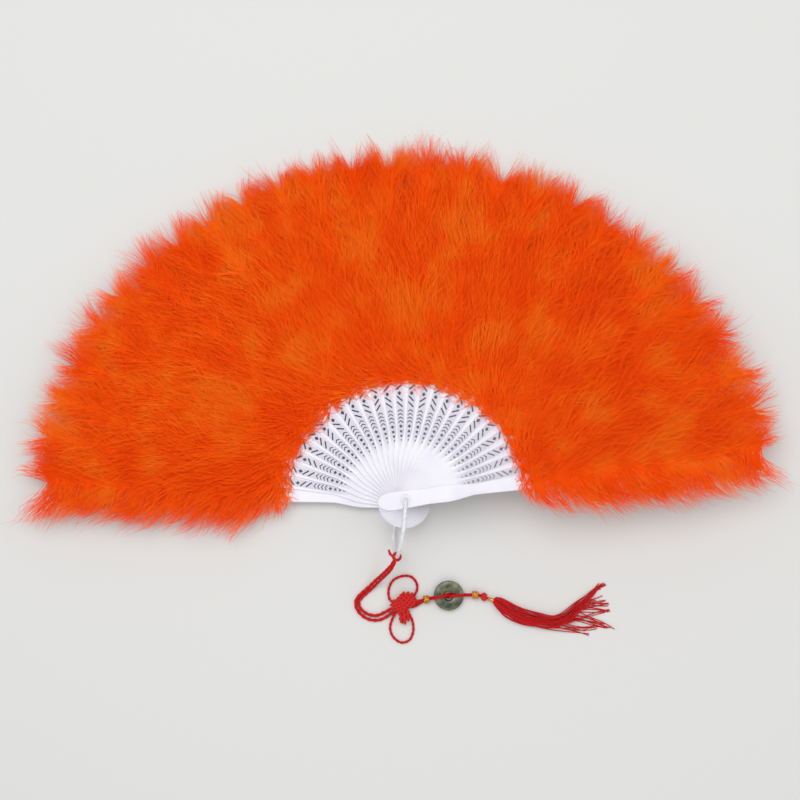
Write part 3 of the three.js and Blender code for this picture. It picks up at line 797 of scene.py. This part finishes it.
class FEATHERFAN_OT_knot(bpy.types.Operator):
    """Makes the knot, the hitch on the loop with its cut end, and the stopper knot."""

    bl_idname = "feather_fan.knot"
    bl_label = "Knot and hitch"

    def execute(self, context):
        settings = context.scene.feather_fan_tassel
        knot = []
        for lobe in KNOT_LOBES:
            knot += self.wound_ball(*lobe, settings.ear_radius)
        pieces = {
            "knot": knot,
            "hitch": self.hitch(0.85 * settings.string_radius),
            "stopper_knot": self.wound_ball(*STOPPER_LOBE, STOPPER_CORD_RADIUS * MM),
        }
        for name, parts in pieces.items():
            settle(piece_of(name, parts, bpy.data.materials["red_cord"]), "tassel")
        return {"FINISHED"}

    def wound_ball(self, place, halves, headings, offsets, radius):
        """Bodies of a ball wound with cord: closed rings in several directions, over and under each other."""
        centre = np.array(from_pivot(place))
        halves = np.array(halves) * MM - radius
        parts = [self.ellipsoid(centre, halves - 0.9 * radius)]
        turn = full_turn(48)
        for order, heading in enumerate(headings):
            along = np.array((math.cos(heading), math.sin(heading), 0))
            across = np.array((-math.sin(heading), math.cos(heading), 0))
            for count, offset in enumerate(offsets):
                shrink = math.sqrt(1 - offset * offset)
                wave = WEAVE_DEPTH * np.cos(WEAVE_WAVES * turn + math.pi * (count + order))
                sway = 1 - LAYER_STEP * order + wave
                unit = (
                    np.cos(turn)[:, None] * along * shrink
                    + np.sin(turn)[:, None] * np.array((0, 0, 1)) * shrink
                    + offset * across
                )
                parts.append(tube(centre + unit * sway[:, None] * halves, radius, 8, closed=True))
        return parts

    def ellipsoid(self, centre, halves):
        rows, sides = 12, 24
        vertices, faces = [centre + (0, 0, halves[2])], []
        for i in range(1, rows):
            tilt = math.pi * i / rows
            for k in range(sides):
                turn = 2 * math.pi * k / sides
                unit = (math.sin(tilt) * math.cos(turn), math.sin(tilt) * math.sin(turn), math.cos(tilt))
                vertices.append(centre + np.array(unit) * halves)
        vertices.append(centre - (0, 0, halves[2]))
        last = len(vertices) - 1
        for k in range(sides):
            j = (k + 1) % sides
            faces.append((0, 1 + k, 1 + j))
            faces.append((last, last - sides + j, last - sides + k))
            for i in range(rows - 2):
                a = 1 + i * sides
                faces.append((a + k, a + sides + k, a + sides + j, a + j))
        return np.array(vertices), faces

    def hitch(self, radius):
        """Two turns of string round the loop, and the string's cut end."""
        centre = np.array(FAN @ loop_turn() @ arch_point(-HITCH_ANGLE))
        wrap = LOOP_RADIUS * MM + HITCH_GAP * MM + radius
        turn = full_turn(40)
        ring = np.stack([wrap * np.cos(turn), wrap * np.sin(turn), 0.25 * radius * np.sin(turn)], 1)
        parts = []
        for height in (-0.95, 0.75):
            parts.append(tube(ring + (centre + (0, 0, height * radius)), radius, 10, closed=True))
        parts.append(tube(smooth_route(STUB_ROUTE, 0.4), radius, 12, CORD_LOBES, CORD_DEPTH, 3.4 * MM))
        return parts


class FEATHERFAN_OT_beads(bpy.types.Operator):
    """Makes the two beads, each a barrel covered in little balls, and the ferrule."""

    bl_idname = "feather_fan.beads"
    bl_label = "Beads and ferrule"

    def execute(self, context):
        finish = gold_finish(context.scene.feather_fan_tassel)
        tree = self.bead_tree()
        for name, node, bead_place, seed in (
            ("beaded_upper", "bead_upper", UPPER_BEAD, 3),
            ("beaded_lower", "bead_lower", LOWER_BEAD, 8),
        ):
            bead = grown(name, tree, {
                "Balls round": 9, "Rows": 4, "Barrel radius": 2.2 * MM, "Ball radius": 0.62 * MM,
                "Length": 4.2 * MM, "Bore": 1.5 * MM, "Seed": seed, "Gold": finish,
            })
            bead.data.shade_smooth()
            bead.data.transform(self.axis_frame(*bead_place))
            settle(bead, "tassel", node)
        ferrule = lathe(self.ferrule_profile(), 28, self.axis_frame(*FERRULE))
        settle(piece_of("ribbed_ferrule", [ferrule], finish), "tassel", "ferrule")
        return {"FINISHED"}

    def axis_frame(self, place, heading):
        """From a piece's own Z axis to a level axis at a heading."""
        turned = Matrix.Rotation(math.radians(heading), 4, "Z") @ Matrix.Rotation(math.radians(90), 4, "Y")
        return Matrix.Translation(from_pivot(place)) @ turned

    def bead_tree(self):
        """Rows of balls on a barrel with a bore."""
        tree = GeometryTree("Beaded barrel")
        round_count, rows, seed = tree.ask("Int", "Balls round", "Rows", "Seed")
        sizes = ("Barrel radius", "Ball radius", "Length", "Bore")
        barrel, ball, length, bore = tree.ask("Float", *sizes)
        gold = tree.ask("Material", "Gold")[0]
        row = (tree.index / round_count).floor()
        height = (row + 0.5) / rows - 0.5
        jitter = tree.random(-0.08, 0.08, tree.index, seed)
        turn = (tree.index + row * 0.5 + jitter) * (2 * math.pi) / round_count
        belly = barrel * (1 - height * height * 0.9)
        place = tree.vector(turn.cosine() * belly, turn.sine() * belly, height * length * 0.86)
        points = tree.node("Points", Count=round_count * rows, Position=place)
        sphere = tree.node("MeshIcoSphere", Radius=ball, Subdivisions=2)
        size = tree.random(0.85, 1.1, tree.index, seed)
        balls = tree.node("InstanceOnPoints", Points=points, Instance=sphere, Scale=size)
        wall = (barrel - bore) * 0.5
        circle = tree.node("CurvePrimitiveCircle", Resolution=28, Radius=bore + wall)
        section = tree.node("CurvePrimitiveQuadrilateral", Width=wall * 2, Height=length * 0.94)
        tree.finish([balls, tree.node("CurveToMesh", Curve=circle, Profile_Curve=section)], gold)
        return tree

    def ferrule_profile(self):
        """A straight bore, and an outside that swells at each rib."""
        inner, outer, depth = FERRULE_INNER * MM, FERRULE_OUTER * MM, FERRULE_RIB_DEPTH * MM
        length = FERRULE_LENGTH * MM
        steps = 4 * FERRULE_RIBS
        profile = [(inner, -length / 2)]
        for i in range(steps + 1):
            flare = depth * math.cos(2 * math.pi * FERRULE_RIBS * i / steps)
            profile.append((outer - depth + flare, -length / 2 + length * i / steps))
        profile.append((inner, length / 2))
        return profile


class FEATHERFAN_OT_disc(bpy.types.Operator):
    """Makes the polished stone disc with its hole."""

    bl_idname = "feather_fan.disc"
    bl_label = "Stone disc"

    def execute(self, context):
        settings = context.scene.feather_fan_tassel
        half, edge = settings.disc_thickness / 2, 0.42 * settings.disc_thickness
        profile = []
        for centre, sign in ((settings.disc_hole + edge, -1), (settings.disc_radius - edge, 1)):
            for i in range(9):
                tilt = math.radians(-90 + 22.5 * i)
                profile.append((centre + sign * edge * math.cos(tilt), sign * half * math.sin(tilt)))
        body = lathe(profile, 72, Matrix.Translation(from_pivot(DISC_PLACE)))
        disc = piece_of("stone_disc", [body], stone_finish(settings))
        settle(disc, "tassel", "jade_disc")
        return {"FINISHED"}


class FEATHERFAN_OT_skirt(bpy.types.Operator):
    bl_idname = "feather_fan.skirt"
    bl_label = "Skirt"

    def execute(self, context):
        settings = context.scene.feather_fan_tassel
        radius = settings.thread_radius
        finish = cord_finish("red_thread", settings, 2200)
        spine = smooth_route(SKIRT_ROUTE, 1.5)
        core = piece_of("skirt_core", [tube(spine, radius, 8, 2, 0.12, 1.6 * MM)], finish)
        settle(core, "tassel")
        draws = np.random.default_rng(11)
        parts = []
        for x, y, count, leave in SKIRT_ENDS:
            parts += [self.thread(spine, (x, y, 0.6), leave, draws, radius) for _ in range(count)]
        settle(piece_of("skirt_threads", parts, finish), "tassel", "tassel_skirt")
        self.declare_cords(settings, spine)
        return {"FINISHED"}

    def thread(self, spine, end, leave, draws, radius):
        """One thread: bound in the ferrule, loose in the bundle, then on its own to its free end."""
        last = round((leave + draws.uniform(-0.06, 0.06)) * (len(spine) - 1))
        _, across, _ = frames_along(spine)
        distance = distances_along(spine)[: last + 1] / MM
        half = np.interp(distance, BUNDLE_DISTANCES, BUNDLE_HALF_WIDTHS)
        sway = draws.uniform(0.1, 0.22) * half * np.sin(distance / 9 + draws.uniform(0, 2 * math.pi))
        line = spine[: last + 1] + across[: last + 1] * ((draws.uniform(-1, 1) * half + sway) * MM)[:, None]
        line[:, 2] += draws.uniform(-0.8, 1) * np.minimum(half * 0.5, 1.6) * MM
        goal = np.array(from_pivot(end)) + draws.normal(0, 1.3 * MM, 3) * (1, 1, 0)
        line = np.vstack([line, self.free_end(line, goal, draws.uniform(-0.4, 0.4))])
        line[:, 2] = np.maximum(line[:, 2], radius + 0.05 * MM)
        return tube(line, radius * np.linspace(1, 0.8, len(line)), 6)

    def free_end(self, line, goal, turn):
        """From the end of a line on to a goal, in one bend that leaves straight on and ends turned."""
        start, ahead = line[-1], line[-1] - line[-3]
        way = goal - start
        span = np.linalg.norm(way)
        leaving = ahead / np.linalg.norm(ahead) * span
        cosine, sine = math.cos(turn), math.sin(turn)
        arriving = np.array((way[0] * cosine - way[1] * sine, way[0] * sine + way[1] * cosine, 0))
        t = np.linspace(0, 1, max(7, round(span / (1.5 * MM))))[1:, None]
        return (
            (2 * t**3 - 3 * t**2 + 1) * start + (t**3 - 2 * t**2 + t) * leaving
            + (3 * t**2 - 2 * t**3) * goal + (t**3 - t**2) * arriving
        )

    def declare_cords(self, settings, spine):
        """Works out each cord's line and thickness and passes them on to declare_cord, which does nothing
        with them.
        """
        for name, (points, radius_name, apart, far_end, others) in CORDS.items():
            breadths = 4 if apart else 2
            thick = breadths * getattr(settings, radius_name)
            self.declare_cord(name, smooth_route(points, 0.5), thick, far_end, others)
        thick = 2 * settings.thread_radius
        self.declare_cord("skirt_core", spine, thick, "bare", ["skirt_threads", "ribbed_ferrule"])

    def declare_cord(self, name, line, thick, far_end, others):
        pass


def loop_turn():
    return Matrix.Rotation(math.radians(LOOP_HEADING), 4, "Z")


def arch_point(angle):
    """A point of the loop's middle line: along its heading, and up the pivot."""
    turn = math.radians(angle)
    reach = LOOP_LEG + LOOP_ARCH * math.cos(turn)
    height = STACK_HEIGHT / 2 + (STACK_HEIGHT / 2 + LOOP_OFFSET) * math.sin(turn)
    return Vector((reach * MM, 0, height * MM))


class FEATHERFAN_OT_loop(bpy.types.Operator):
    """Makes the hang loop: a twisted clear bar whose back leg is plain."""

    bl_idname = "feather_fan.loop"
    bl_label = "Hang loop"

    def execute(self, context):
        settings = context.scene.feather_fan_sticks
        front, back = (STACK_HEIGHT + LOOP_OFFSET) * MM, -LOOP_OFFSET * MM
        front_leg = [Vector((0, 0, front)), Vector((LOOP_LEG / 2 * MM, 0, front))]
        front_leg += [arch_point(angle) for angle in range(90, 0, -15)]
        back_leg = [arch_point(angle) for angle in range(0, -91, -15)]
        back_leg += [Vector((LOOP_LEG / 2 * MM, 0, back)), Vector((0, 0, back))]
        given = [self.bowed(point, FRONT_LEG_BOW) for point in front_leg]
        given += [self.bowed(point, BACK_LEG_BOW) for point in back_leg]
        parts = [self.twisted(smooth_line(given, 0.35 * MM), settings.loop_radius, 24)]
        for level, way in ((front, -1), (back, 1)):
            start, end = ((0, 0, level + way * depth * MM) for depth in PEG_ENDS)
            parts.append(tube(np.linspace(start, end, 8), PEG_RADIUS * MM, 16))
        piece = piece_of("twisted_loop", parts, clear_finish(settings))
        piece.data.transform(FAN @ loop_turn())
        settle(piece, "hang_loop", "hang_loop")
        return {"FINISHED"}

    def bowed(self, point, bow):
        """A leg's point moved aside: most of all halfway, and not at all at the peg and at the arch's end."""
        share = point.x / ((LOOP_LEG + LOOP_ARCH) * MM)
        return point + Vector((0, bow * MM * abs(math.sin(math.pi * share)) ** 0.8, 0))

    def twisted(self, line, radius, sides):
        """A bar of lobes that wind round it, and die away where the back leg is plain."""
        along = distances_along(line)
        share = along / along[-1]
        depth = TWIST_DEPTH * (1 - np.clip((share - TWISTED_SHARE) / TWIST_FADE, 0, 1))
        depth, along = (np.pad(values, len(ROUND_END), "edge") for values in (depth, along))
        vertices, faces = tube(line, radius, sides)
        rings = vertices.reshape(-1, sides, 3)
        middle = rings.mean(1, keepdims=True)
        turn = full_turn(sides)[None, :]
        wound = np.cos(TWIST_LOBES * turn - 2 * math.pi * along[:, None] / (TWIST_PITCH * MM))
        lobed = 1 - depth[:, None] * 0.5 * (1 - wound)
        return (middle + (rings - middle) * lobed[:, :, None]).reshape(-1, 3), faces


class FEATHERFAN_OT_sticks(bpy.types.Operator):
    """Gives the pierced ribs, the guards and the pivot their moulded white plastic."""

    bl_idname = "feather_fan.sticks"
    bl_label = "Sticks"

    def execute(self, context):
        settings = context.scene.feather_fan_sticks
        plain = white_finish("white_moulded", settings, pierced=False)
        pierced = white_finish("white_pierced", settings, pierced=True)
        for name, node in frame["nodes"].items():
            if name.startswith("rib_"):
                self.mark_places(node, int(name.removeprefix("rib_")))
                self.paint(node, pierced)
            elif name.endswith("_guard") or name == "pivot_tube":
                self.paint(node, plain)
        return {"FINISHED"}

    def paint(self, node, finish):
        node.data.materials.clear()
        node.data.materials.append(finish)

    def mark_places(self, node, index):
        """Writes each vertex's place on its own stick, along and across it."""
        to_stick = stick_place(index).inverted()
        marks = node.data.attributes.new(RIB_PLACE, "FLOAT_VECTOR", "POINT")
        for vertex, mark in zip(node.data.vertices, marks.data):
            mark.vector = (to_stick @ vertex.co) / MM


class FEATHERFAN_OT_plumes(bpy.types.Operator):
    """Makes one downy plume on each stick."""

    bl_idname = "feather_fan.plumes"
    bl_label = "Plumes"

    points_of_a_barb = 5
    # The ranges of what is drawn for each tuft or barb, in radians, metres and shares. A range's place in the
    # list is part of its seed
    ranges = {
        "tuft place": (0, 2),
        "tuft splay": (-0.3, 0.3),
        "barb splay": (-0.4, 0.4),
        "tuft lift": (-0.7, 1),
        "barb lift": (-0.2, 0.2),
        "tuft size": (0.84, 1.06),
        "barb size": (0.55, 1),
        "barb root": (-0.002, 0.002),
        "barb aside": (-0.003, 0.0022),
        "tuft level": (-0.0008, 0.0016),
        "barb rest": (0.0006, 0.004),
        "barb shade": (0, 0.94),
        "collar splay": (0.2, 2),
    }

    def execute(self, context):
        settings = context.scene.feather_fan_plumes
        finish = down_finish(settings)
        tree = self.plume_tree()
        for index in range(STICK_COUNT):
            self.make_plume(index, tree, settings, finish)
        return {"FINISHED"}

    def make_plume(self, index, tree, settings, finish):
        is_back, is_front = index == 0, index == STICK_COUNT - 1
        place = stick_place(index)
        reach = settings.tip_reach + settings.side_gain * abs(math.cos(stick_heading(index))) ** 3
        plume = grown(f"down_{index:02d}", tree, {
            "Tufts": settings.tufts * 3 // 2 if is_back or is_front else settings.tufts,
            "Barbs in a tuft": settings.barbs,
            "Root reach": settings.root_reach,
            "Shaft reach": reach - 0.5 * settings.barb_length,
            "Barb length": settings.barb_length,
            "Barb width": settings.barb_width,
            "Left splay": settings.free_splay if is_back else settings.splay,
            "Right splay": settings.free_splay if is_front else settings.splay,
            "Rise": settings.rise,
            "Place": place.translation,
            "Turn": place.to_euler(),
            "Seed": index,
            "Down": finish,
        })
        plume.data.shade_flat()
        body = "back_guard" if is_back else "front_guard" if is_front else f"rib_{index:02d}"
        node = f"plume_{index:02d}"
        settle(plume, body, node if node in frame["nodes"] else None)

    def plume_tree(self):
        """Tufts of barbs along a straight shaft on +X, then placed, and kept above the table."""
        tree = GeometryTree("Plume")
        tufts, per_tuft, seed = tree.ask("Int", "Tufts", "Barbs in a tuft", "Seed")
        root, end, length, width = tree.ask("Float", "Root reach", "Shaft reach", "Barb length", "Barb width")
        left, right, rise = tree.ask("Float", "Left splay", "Right splay", "Rise")
        place = tree.ask("Vector", "Place")[0]
        turn = tree.ask("Rotation", "Turn")[0]
        down = tree.ask("Material", "Down")[0]
        count = self.points_of_a_barb

        def draw(name, each):
            order = list(self.ranges).index(name) + 1
            return tree.random(*self.ranges[name], each, seed * 40 + order)

        barb_line = tree.node("ResampleCurve", Curve=tree.node("CurvePrimitiveLine"), Count=count)
        spots = tree.node("Points", Count=tufts * per_tuft)
        many = tree.node("InstanceOnPoints", Points=spots, Instance=barb_line)
        curves = tree.node("RealizeInstances", Geometry=many)

        # Each point's barb and tuft, how far along its barb it is, and how far along the shaft its tuft is
        barb = ((tree.index + 0.5) / count).floor()
        along = (tree.index - barb * count) / (count - 1)
        tuft = ((barb + 0.5) / per_tuft).floor()
        side = (tuft % 2) * 2 - 1
        share = ((tuft / 2).floor() * 2 + draw("tuft place", tuft)) / tufts
        # The collar is the first ninth of the shaft, with short barbs all ways, and the tip its last quarter
        collar = (1 - share * 9).above(0)
        tip = (share * 4 - 3).above(0)
        is_left = side * 0.5 + 0.5
        side_splay = left * is_left + right * (1 - is_left)
        splay = side_splay * (1 + tip * 0.3) + draw("tuft splay", tuft) + draw("barb splay", barb)
        splay = splay + collar * draw("collar splay", barb)
        lift = rise * draw("tuft lift", tuft) + draw("barb lift", barb) + collar * 0.25
        size = length * draw("tuft size", tuft) * draw("barb size", barb)
        size = size * (1 - collar * 0.62) * (1 - tip * (0.74 - side_splay * 0.58))
        base = root + (end - root) * share + draw("barb root", barb)
        # A barb springs from the shaft at its splay and bends towards the tip
        bend = along * along
        ahead = base + size * (along * splay.cosine() + bend * 0.3 * (1 - splay.cosine()))
        aside = side * (size * splay.sine() * (along - bend * 0.3) + draw("barb aside", barb))
        above = size * lift.sine() * (along - bend * 0.45) + draw("tuft level", tuft) + 0.0012
        bent = tree.node("SetPosition", Geometry=curves, Position=tree.vector(ahead, aside, above))

        # Wide waves draw neighbouring barbs into clumps, and finer ones curl each barb on its own
        spot = tree.node("InputPosition")
        for moment, scale, reach in ((seed * 3.7, 42, 0.018), (barb * 1.31, 70, 0.016)):
            inputs = {"Vector": spot, "W": moment, "Scale": scale, "Detail": 1}
            waves = tree.add("ShaderNodeTexNoise", inputs, out="Color", noise_dimensions="4D")
            bent = tree.node("SetPosition", Geometry=bent, Offset=self.centred(tree, waves, along * reach))
        placed = tree.node("Transform", Geometry=bent, Translation=place, Rotation=turn)
        barbs = self.barbs(tree, placed, barb, along, width, draw)
        tree.finish([barbs, self.shaft(tree, root, end, place, turn)], down)
        return tree

    def centred(self, tree, colour, amount):
        """A push from a noise's colour, about none on average, and weaker up and down."""
        middle = tree.add("ShaderNodeVectorMath", {0: colour, 1: (-0.5, -0.5, -0.5)}, operation="ADD")
        flatter = tree.add("ShaderNodeVectorMath", {0: middle, 1: (1, 1, 0.4)}, operation="MULTIPLY")
        return tree.add("ShaderNodeVectorMath", {0: flatter, "Scale": amount}, operation="SCALE")

    def barbs(self, tree, curves, barb, along, width, draw):
        """The barbs' curves, laid on the table where they would sink into it, made thin tapered bodies."""
        count = self.points_of_a_barb
        x, y, z = tree.split(tree.node("InputPosition"), "XYZ")
        low = draw("barb rest", barb) * (1 - along * 0.6)
        rested = tree.node("SetPosition", Geometry=curves, Position=tree.vector(x, y, z.above(low)))
        level = tree.add("GeometryNodeSetCurveNormal", {"Curve": rested}, mode="Z_UP")
        thin = (1 - along * along * 0.8) * 0.5 * width
        triangle = tree.node("CurvePrimitiveCircle", Resolution=3, Radius=1.0)
        flat = tree.node("Transform", Geometry=triangle, Scale=(1, 0.5, 1))
        body = tree.node("CurveToMesh", Curve=level, Profile_Curve=flat, Scale=thin, Fill_Caps=True)
        own_barb = ((tree.index + 0.5) / (3 * count)).floor()
        ring = ((tree.index - own_barb * 3 * count + 0.5) / 3).floor()
        corner = tree.index - (tree.index / 3 + 0.1).floor() * 3
        shade = 0.02 + draw("barb shade", own_barb) + corner * 0.008
        return self.mapped(tree, body, shade, 0.02 + ring * 0.96 / (count - 1))

    def shaft(self, tree, root, end, place, turn):
        """The quill that the barbs grow from."""
        start, end = tree.vector(root + 0.002, 0.0, 0.0014), tree.vector(end + 0.01, 0.0, 0.0012)
        line = tree.node("CurvePrimitiveLine", Start=start, End=end)
        spaced = tree.node("ResampleCurve", Curve=line, Count=12)
        thick = (1 - tree.node("SplineParameter") * 0.8) * 0.0007
        circle = tree.node("CurvePrimitiveCircle", Resolution=6, Radius=1.0)
        body = tree.node("CurveToMesh", Curve=spaced, Profile_Curve=circle, Scale=thick, Fill_Caps=True)
        placed = tree.node("Transform", Geometry=body, Translation=place, Rotation=turn)
        return self.mapped(tree, placed, 0.3 + tree.index % 6 * 0.01, 0.1 + tree.index * 0.01)

    def mapped(self, tree, body, shade, way):
        """A body with its map, worked out at its points."""
        place = {0: tree.vector(shade, way, 0.0)}
        on_point = tree.add("GeometryNodeFieldOnDomain", place, data_type="FLOAT_VECTOR", domain="POINT")
        inputs = {"Geometry": body, "Name": DOWN_MAP, "Value": on_point}
        return tree.add("GeometryNodeStoreNamedAttribute", inputs, data_type="FLOAT2", domain="CORNER")


class FEATHERFAN_PT_panel(bpy.types.Panel):
    """Lists the fan's sizes, its colours and the operators that make its pieces."""

    bl_label = "Feather fan"
    bl_idname = "FEATHERFAN_PT_panel"
    bl_space_type = "VIEW_3D"
    bl_region_type = "UI"
    bl_category = "Feather fan"

    def draw(self, context):
        for operator in OPERATORS:
            self.layout.operator(operator.bl_idname)
        for name, group in SETTINGS.items():
            box = self.layout.box()
            for label in group.__annotations__:
                box.prop(getattr(context.scene, name), label)


SETTINGS = {
    "feather_fan_stage": FeatherFanStage,
    "feather_fan_sticks": FeatherFanSticks,
    "feather_fan_plumes": FeatherFanPlumes,
    "feather_fan_tassel": FeatherFanTassel,
}
# In the order in which main calls them: the camera and the cords come first
OPERATORS = (
    FEATHERFAN_OT_stage,
    FEATHERFAN_OT_strings,
    FEATHERFAN_OT_knot,
    FEATHERFAN_OT_beads,
    FEATHERFAN_OT_disc,
    FEATHERFAN_OT_skirt,
    FEATHERFAN_OT_loop,
    FEATHERFAN_OT_sticks,
    FEATHERFAN_OT_plumes,
)
CLASSES = (*SETTINGS.values(), *OPERATORS, FEATHERFAN_PT_panel)


def register():
    for each in CLASSES:
        bpy.utils.register_class(each)
    for name, group in SETTINGS.items():
        setattr(bpy.types.Scene, name, bpy.props.PointerProperty(type=group))


def unregister():
    for name in SETTINGS:
        delattr(bpy.types.Scene, name)
    for each in reversed(CLASSES):
        bpy.utils.unregister_class(each)


def main():
    register()
    for operator in OPERATORS:
        getattr(bpy.ops.feather_fan, operator.bl_idname.split(".")[1])()


if __name__ == "__main__":
    main()
